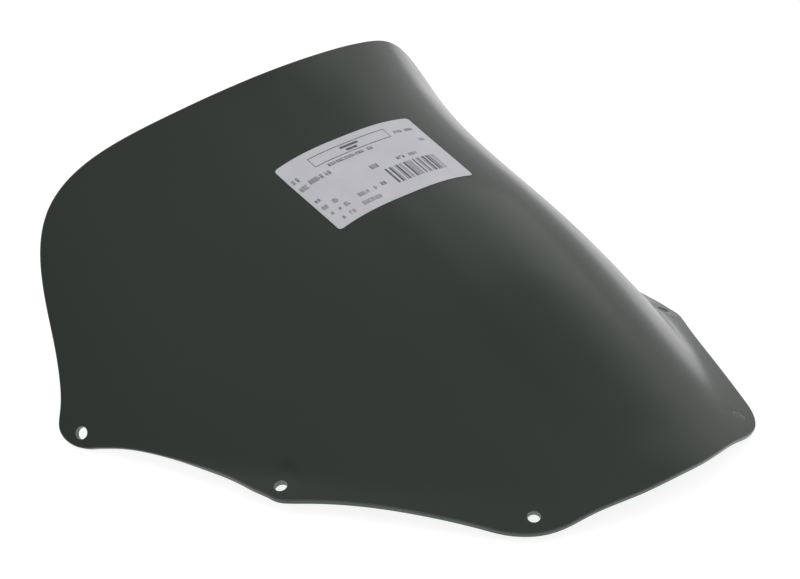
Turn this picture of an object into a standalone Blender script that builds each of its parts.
"""Motorcycle windshield screen: a formed acrylic sheet with six screw holes, and its stock label.

Units are metres and +Z is up.  The screen stands on its screw lobes, as on a table, with its
front edge towards -Y.  While the shapes are worked out, x is measured from the centre line and
y is measured back from the middle of the front edge.  At the end everything is moved so that
the origin is at the middle of the footprint, on the table.
"""

import math

import bmesh
import bpy
import numpy as np
from mathutils import Vector
from mathutils.geometry import delaunay_2d_cdt

# ------------------------------------------------------------------ overall sizes
SCREEN_WIDTH = 0.353           # across the two rear screw lobes
SCREEN_LENGTH = 0.320          # from the front edge back to the rear corners, seen from above
HEIGHT_SCALE = 1.0             # 1.0 gives a screen about 150 mm high
SHEET_THICKNESS = 0.003
EDGE_CHAMFER = 0.0005          # polished bevel along the outline, on both faces

# ------------------------------------------------------------------ screw holes
HOLE_DIAMETER = 0.0064
HOLE_CHAMFER = 0.0003
LAND_DIAMETER = 0.0138         # flat seat round each hole, for a washer
LAND_BLEND = 0.006             # width over which the seat runs out into the formed surface
FRONT_HOLE = (0.0772, 0.0271)  # x from the centre line, y back from the front edge
MIDDLE_HOLE = (0.1437, 0.1385)
REAR_HOLE = (0.1725, 0.2562)

# ------------------------------------------------------------------ formed shape
# Ridge heights along the centre line, one for every RIDGE_STEP from RIDGE_START backwards.
# The last ones rise faster: that is the turned-up lip at the top.
RIDGE_STEP = 0.060
RIDGE_START = -0.060
RIDGE_HEIGHTS = (-0.0150, 0.0075, 0.0345, 0.0700, 0.1015, 0.1195, 0.1480, 0.2075, 0.2670)
CROWN_REACH = 0.075            # how far from the centre line the dome turns down, at the front
CROWN_TIGHTENING = 0.035       # how much nearer it turns down for each metre further back
CROWN_FLATNESS = 2.8           # 2 is a hyperbola, more is flatter on top and turns down later
FLANK_SLOPE = 1.70             # slope that the dome's flanks run towards, at the front edge
FLANK_SLOPE_GAIN = 4.25        # how much steeper the flanks get for each metre further back
FLANGE_HEIGHT = 0.0105         # flange height at the middle of the front edge
FLANGE_RISE = 0.37             # how fast the flange climbs backwards from there
FLANGE_BOW = 1.13              # how fast that climb levels off
FLANGE_SIDE_SLOPE = 0.53       # slope that the flange runs down to at the sides
FLANGE_SIDE_EASE = 0.71        # how much that slope eases for each metre further back
FLANGE_CROWN = 0.093           # how far from the centre line the flange takes up its side slope
FILLET = 0.0012                # softness of the crease between the dome and the flange

# ------------------------------------------------------------------ outline
# Points that pull a smooth curve round the right half of the screen, seen from above,
# from the middle of the top edge to the middle of the front edge.  The left half mirrors it.
TOP_EDGE = ((0.0, 0.2900), (0.0350, 0.2895), (0.0695, 0.2950), (0.0990, 0.3070))
REAR_CORNER = ((0.1175, 0.3155), (0.1355, 0.3210), (0.1475, 0.3160), (0.1560, 0.3010))
REAR_LOBE = ((0.1615, 0.2875), (0.1710, 0.2720), (0.1775, 0.2715), (0.1775, 0.2590), (0.1745, 0.2490))
REAR_SCALLOP = ((0.1675, 0.2315), (0.1618, 0.2095), (0.1527, 0.1680))
MIDDLE_LOBE = ((0.1530, 0.1495), (0.1510, 0.1405), (0.1515, 0.1330), (0.1420, 0.1205))
FRONT_SCALLOP = ((0.1280, 0.0985), (0.1135, 0.0715), (0.0985, 0.0420))
FRONT_LOBE = ((0.0935, 0.0305), (0.0810, 0.0170), (0.0670, 0.0115))
FRONT_EDGE = ((0.0565, 0.0095), (0.0455, 0.0065), (0.0240, 0.0010), (0.0, 0.0))
DRAWN_WIDTH = 0.353            # the size that the points above are drawn for
DRAWN_LENGTH = 0.320

# ------------------------------------------------------------------ label
LABEL_WIDTH = 0.099            # across the screen
LABEL_HEIGHT = 0.052           # along the ridge
LABEL_CENTRE = 0.2160          # from the front edge back to the middle of the label
LABEL_CORNER = 0.002
LABEL_THICKNESS = 0.0002
LABEL_EDGE = 0.00005           # slight rounding of the die-cut edge
LABEL_GAP = 0.0003             # room left under the label for its adhesive

# ------------------------------------------------------------------ fineness of the meshes
SHEET_SPACING = 0.0085
OUTLINE_SPACING = 0.0045
HOLE_SIDES = 28
LABEL_SPACING = 0.0050

WIDTH_SCALE = SCREEN_WIDTH / DRAWN_WIDTH
LENGTH_SCALE = SCREEN_LENGTH / DRAWN_LENGTH


def clear_scene():
    """Remove every object of the startup scene."""
    for old in list(bpy.data.objects):
        bpy.data.objects.remove(old, do_unlink=True)


# ------------------------------------------------------------------ the formed surface
def curve_weights(t):
    """Weights of four neighbouring points of a smooth cubic curve, for t from 0 to 1."""
    a = (1 - t) ** 3
    b = 3 * t**3 - 6 * t**2 + 4
    c = -3 * t**3 + 3 * t**2 + 3 * t + 1
    d = t**3
    return a / 6, b / 6, c / 6, d / 6


def ridge_height(y):
    """Height of the dome on the centre line, y back from the front edge."""
    heights = np.array(RIDGE_HEIGHTS)
    place = (y - RIDGE_START) / RIDGE_STEP
    span = np.clip(np.floor(place).astype(int), 1, len(heights) - 3)
    weights = curve_weights(place - span)
    return sum(w * heights[span + k - 1] for k, w in enumerate(weights))


def soft_max(a, b):
    """The higher of two surfaces, with a fillet where they cross."""
    step = a - b
    return 0.5 * (a + b + np.sqrt(step * step + 4 * FILLET * FILLET))


def formed_height(x, y):
    """Height of the outer face before the flat seats are pressed in."""
    x = np.abs(x) / WIDTH_SCALE
    y = y / LENGTH_SCALE
    slope = FLANK_SLOPE + FLANK_SLOPE_GAIN * y
    reach = slope * (CROWN_REACH - CROWN_TIGHTENING * y)
    fall = (x**CROWN_FLATNESS + reach**CROWN_FLATNESS) ** (1 / CROWN_FLATNESS) - reach
    dome = ridge_height(y) - slope * fall
    side = FLANGE_SIDE_SLOPE - FLANGE_SIDE_EASE * y
    crest = FLANGE_HEIGHT + FLANGE_RISE * y - FLANGE_BOW * y * y
    flange = crest - side * (np.sqrt(x * x + FLANGE_CROWN**2) - FLANGE_CROWN)
    return HEIGHT_SCALE * soft_max(dome, flange)


def hole_centres():
    """Centres of the six holes, seen from above."""
    found = []
    for x, y in (FRONT_HOLE, MIDDLE_HOLE, REAR_HOLE):
        found.append((x * WIDTH_SCALE, y * LENGTH_SCALE))
        found.append((-x * WIDTH_SCALE, y * LENGTH_SCALE))
    return found


def slopes(height, x, y):
    """Slopes of a surface along x and along y."""
    d = 1e-5
    along_x = (height(x + d, y) - height(x - d, y)) / (2 * d)
    along_y = (height(x, y + d) - height(x, y - d)) / (2 * d)
    return along_x, along_y


def find_lands():
    """The plane of the flat seat round each hole: centre, height and the two slopes."""
    lands = []
    for cx, cy in hole_centres():
        point = np.array([cx]), np.array([cy])
        along_x, along_y = slopes(formed_height, *point)
        lands.append((cx, cy, formed_height(*point)[0], along_x[0], along_y[0]))
    return lands


def outer_height(x, y):
    """Height of the outer face, flat seats included."""
    z = formed_height(x, y)
    for cx, cy, cz, along_x, along_y in LANDS:
        plane = cz + along_x * (x - cx) + along_y * (y - cy)
        away = np.sqrt((x - cx) ** 2 + (y - cy) ** 2 + (plane - cz) ** 2)
        t = np.clip((away - LAND_DIAMETER / 2) / LAND_BLEND, 0, 1)
        share = 1 - t * t * t * (10 - 15 * t + 6 * t * t)
        z = z + share * (plane - z)
    return z


LANDS = find_lands()


def outer_points(plan):
    """Points of the outer face over an array of plan points."""
    return np.column_stack((plan, outer_height(plan[:, 0], plan[:, 1])))


def outer_normals(plan):
    """Outward unit normals of the outer face over an array of plan points."""
    along_x, along_y = slopes(outer_height, plan[:, 0], plan[:, 1])
    normals = np.column_stack((-along_x, -along_y, np.ones(len(plan))))
    return normals / np.linalg.norm(normals, axis=1)[:, None]


def developed(plan):
    """Plan points with x replaced by the length of sheet from the centre line."""
    share = np.linspace(0, 1, 41)[:, None]
    x = share * plan[:, 0]
    y = np.broadcast_to(plan[:, 1], x.shape)
    z = outer_height(x, y)
    steps = np.sqrt(np.diff(x, axis=0) ** 2 + np.diff(z, axis=0) ** 2)
    length = steps.sum(axis=0) * np.sign(plan[:, 0])
    return np.column_stack((length, plan[:, 1]))


def across(lengths, y):
    """The x of each length of sheet from the centre line, along one row of constant y."""
    x = np.linspace(0, 0.26 * WIDTH_SCALE, 400)
    z = outer_height(x, np.full_like(x, y))
    run = np.concatenate(([0], np.cumsum(np.hypot(np.diff(x), np.diff(z)))))
    return np.interp(np.abs(lengths), run, x) * np.sign(lengths)


# ------------------------------------------------------------------ plan outlines
def outline_plan():
    """The closed outline of the screen seen from above, anticlockwise."""
    right = TOP_EDGE + REAR_CORNER + REAR_LOBE + REAR_SCALLOP + MIDDLE_LOBE
    right = right + FRONT_SCALLOP + FRONT_LOBE + FRONT_EDGE
    right = np.array(right) * (WIDTH_SCALE, LENGTH_SCALE)
    left = right[-2:0:-1] * (-1, 1)
    pull = np.concatenate((right, left))
    points = []
    for k in range(len(pull)):
        near = [pull[(k + j) % len(pull)] for j in (-1, 0, 1, 2)]
        ends = np.array([near[1], near[2]])
        lifted = outer_points(ends)
        count = max(1, round(float(np.linalg.norm(lifted[1] - lifted[0])) / OUTLINE_SPACING))
        for t in np.arange(count) / count:
            points.append(sum(w * p for w, p in zip(curve_weights(t), near)))
    return np.array(points)[::-1]


def circle_on_land(land, radius):
    """A circle of a given radius drawn in the plane of a seat, seen from above."""
    cx, cy, _, along_x, along_y = land
    first = np.array((1.0, 0.0, along_x))
    first /= np.linalg.norm(first)
    normal = np.array((-along_x, -along_y, 1.0))
    second = np.cross(normal / np.linalg.norm(normal), first)
    angle = np.arange(HOLE_SIDES) * 2 * math.pi / HOLE_SIDES
    ring = np.outer(np.cos(angle), first) + np.outer(np.sin(angle), second)
    return ring[:, :2] * radius + (cx, cy)


def inside(points, loop):
    """Which points lie inside a closed loop."""
    x, y = points[:, 0][:, None], points[:, 1][:, None]
    a, b = loop, np.roll(loop, -1, axis=0)
    spans = (a[:, 1] > y) != (b[:, 1] > y)
    cut = a[:, 0] + (y - a[:, 1]) * (b[:, 0] - a[:, 0]) / (b[:, 1] - a[:, 1] + 1e-12)
    return (spans & (x < cut)).sum(axis=1) % 2 == 1


def distance(points, loop):
    """Distance of each point from the nearest corner of a loop."""
    gaps = points[:, None, :] - loop[None, :, :]
    return np.sqrt((gaps**2).sum(axis=2)).min(axis=1)


# ------------------------------------------------------------------ bodies
def triangles_between(loops, inner_points):
    """Triangles filling the first loop but for the other loops, as numbers of the points given."""
    flat = np.concatenate([*loops, inner_points])
    rings = []
    start = 0
    for loop in loops:
        rings.append(list(range(start, start + len(loop))))
        start += len(loop)
    found = delaunay_2d_cdt([Vector(p) for p in flat], [], rings, 0, 1e-7, True)
    origin = [source[0] for source in found[3]]
    triangles = np.array([[origin[corner] for corner in triangle] for triangle in found[2]])
    middles = flat[triangles].mean(axis=1)
    kept = inside(middles, loops[0])
    for hole in loops[1:]:
        kept &= ~inside(middles, hole)
    return triangles[kept].tolist()


def outward_rims(points, normals):
    """Unit directions in the surface, pointing out of the material round a closed loop.

    The outline runs anticlockwise and a hole runs clockwise, so that holds for both.
    """
    tangent = np.roll(points, -1, axis=0) - np.roll(points, 1, axis=0)
    out = np.cross(tangent, normals)
    return out / np.linalg.norm(out, axis=1)[:, None]


def make_object(name, vertices, faces, material, sharp_angle):
    """A smooth-shaded object with its faces turned outwards."""
    mesh = bpy.data.meshes.new(name)
    mesh.from_pydata([tuple(v) for v in vertices], [], faces)
    shell = bmesh.new()
    shell.from_mesh(mesh)
    bmesh.ops.recalc_face_normals(shell, faces=shell.faces)
    shell.to_mesh(mesh)
    shell.free()
    mesh.shade_smooth()
    mesh.set_sharp_from_angle(angle=sharp_angle)
    mesh.materials.append(material)
    thing = bpy.data.objects.new(name, mesh)
    bpy.context.scene.collection.objects.link(thing)
    return thing


def sheet_body(loops, chamfers, inner_plan, lift, thickness):
    """Vertices and faces of a sheet laid on the outer face.

    loops are plan loops: the outline anticlockwise, then any holes clockwise.  chamfers has one size
    for each loop.  lift raises the sheet off the outer face, and thickness goes downwards.
    """
    tops = []
    sides = []
    for loop, chamfer in zip(loops, chamfers):
        normals = outer_normals(loop)
        rim = outer_points(loop) + normals * lift
        out = outward_rims(rim, normals)
        tops.append((rim - out * chamfer, normals))
        sides.append((rim - normals * chamfer, rim - normals * (thickness - chamfer)))
    inner_normals = outer_normals(inner_plan)
    inner_top = outer_points(inner_plan) + inner_normals * lift
    flat = [developed(top[:, :2]) for top, _ in tops]
    triangles = triangles_between(flat, developed(inner_plan))
    top = np.concatenate([top for top, _ in tops] + [inner_top])
    down = np.concatenate([normals for _, normals in tops] + [inner_normals])
    count = len(top)
    vertices = [top, top - down * thickness]
    faces = [list(t) for t in triangles]
    faces += [[corner + count for corner in reversed(t)] for t in triangles]
    start = 0
    free = 2 * count
    for (rim, _), (upper, lower) in zip(tops, sides):
        size = len(rim)
        vertices += [upper, lower]
        rings = (start, free, free + size, start + count)
        for above, below in zip(rings[:-1], rings[1:]):
            for k in range(size):
                after = (k + 1) % size
                faces.append([above + k, below + k, below + after, above + after])
        start += size
        free += 2 * size
    return np.concatenate(vertices), faces


def sheet_grid(loops):
    """Plan points spread evenly over the sheet, clear of the outline and of the seats."""
    low = loops[0].min(axis=0)
    high = loops[0].max(axis=0)
    rows = np.arange(low[1] + 0.002, high[1], SHEET_SPACING * 0.85)
    lengths = np.arange(-40, 41) * SHEET_SPACING
    points = []
    for number, y in enumerate(rows):
        shift = SHEET_SPACING / 2 if number % 2 else 0.0
        x = across(lengths + shift, y)
        points.append(np.column_stack((x, np.full_like(x, y))))
    points = np.concatenate(points)
    points = points[np.abs(points[:, 0]) < high[0]]
    points = points[inside(points, loops[0])]
    solid = outer_points(points)
    clear = distance(solid, outer_points(loops[0])) > SHEET_SPACING * 0.62
    for seat in loops[1:]:
        clear &= distance(solid, outer_points(seat)) > SHEET_SPACING * 0.5
        clear &= ~inside(points, seat)
    return points[clear]


def build_screen():
    """The formed sheet with its six holes."""
    outline = outline_plan()
    holes = [circle_on_land(land, HOLE_DIAMETER / 2)[::-1] for land in LANDS]
    seats = [circle_on_land(land, LAND_DIAMETER / 2 - 0.0001) for land in LANDS]
    seat_points = np.concatenate(seats)
    seat_points = seat_points[inside(seat_points, outline)]
    grid = np.concatenate([seat_points, sheet_grid([outline, *seats])])
    chamfers = [EDGE_CHAMFER] + [HOLE_CHAMFER] * len(holes)
    return sheet_body([outline, *holes], chamfers, grid, 0.0, SHEET_THICKNESS)


def build_label():
    """The stock label, bent over the dome just above the outer face."""
    half_width = LABEL_WIDTH / 2
    half_height = LABEL_HEIGHT / 2
    corner = LABEL_CORNER
    loop = []
    for side_x, side_y, start in ((1, 1, 0), (-1, 1, 90), (-1, -1, 180), (1, -1, 270)):
        for turn in (0, 30, 60, 90):
            angle = math.radians(start + turn)
            x = side_x * (half_width - corner) + corner * math.cos(angle)
            y = side_y * (half_height - corner) + corner * math.sin(angle)
            loop.append((x, y))
    rim = []
    for k, (a, b) in enumerate(zip(loop, loop[1:] + loop[:1])):
        a = np.array(a)
        b = np.array(b)
        count = max(1, round(float(np.linalg.norm(b - a)) / LABEL_SPACING))
        rim += [a + (b - a) * t for t in np.arange(count) / count]
    columns = np.arange(-half_width + 0.0045, half_width - 0.004, LABEL_SPACING)
    rows = np.arange(-half_height + 0.0055, half_height - 0.004, LABEL_SPACING)
    middle = np.array([(x, y) for y in rows for x in columns])
    outline = label_plan(np.array(rim))
    lift = LABEL_GAP + LABEL_THICKNESS
    return sheet_body([outline], [LABEL_EDGE], label_plan(middle), lift, LABEL_THICKNESS)


def label_plan(flat):
    """Plan points of points drawn on the flat label, laid along the ridge and over the dome."""
    y = np.linspace(0.10, 0.36, 600) * LENGTH_SCALE
    z = outer_height(np.zeros_like(y), y)
    run = np.concatenate(([0], np.cumsum(np.hypot(np.diff(y), np.diff(z)))))
    middle = np.interp(LABEL_CENTRE * LENGTH_SCALE, y, run)
    back = np.interp(middle + flat[:, 1], run, y)
    x = np.array([float(across(np.array([s]), v)[0]) for s, v in zip(flat[:, 0], back)])
    return np.column_stack((x, back))


# ------------------------------------------------------------------ materials
def make_material(name, colour, roughness, alpha, transmission):
    """A Principled material."""
    material = bpy.data.materials.new(name)
    material.use_nodes = True
    shader = material.node_tree.nodes["Principled BSDF"]
    shader.inputs["Base Color"].default_value = (*colour, 1.0)
    shader.inputs["Roughness"].default_value = roughness
    shader.inputs["Alpha"].default_value = alpha
    shader.inputs["Transmission Weight"].default_value = transmission
    material.diffuse_color = (*colour, 1.0)
    return material


def main():
    """Build both pieces and stand them on the table about the origin."""
    clear_scene()
    acrylic = make_material("dark_tinted_acrylic", (0.035, 0.041, 0.037), 0.12, 1.0, 0.0)
    paper = make_material("coated_label_paper", (0.62, 0.61, 0.66), 0.55, 1.0, 0.0)
    screen, screen_faces = build_screen()
    label, label_faces = build_label()
    low = screen.min(axis=0)
    high = screen.max(axis=0)
    origin = np.array(((low[0] + high[0]) / 2, (low[1] + high[1]) / 2, low[2]))
    make_object("windshield_screen", screen - origin, screen_faces, acrylic, math.radians(32))
    make_object("stock_label", label - origin, label_faces, paper, math.radians(40))


main()
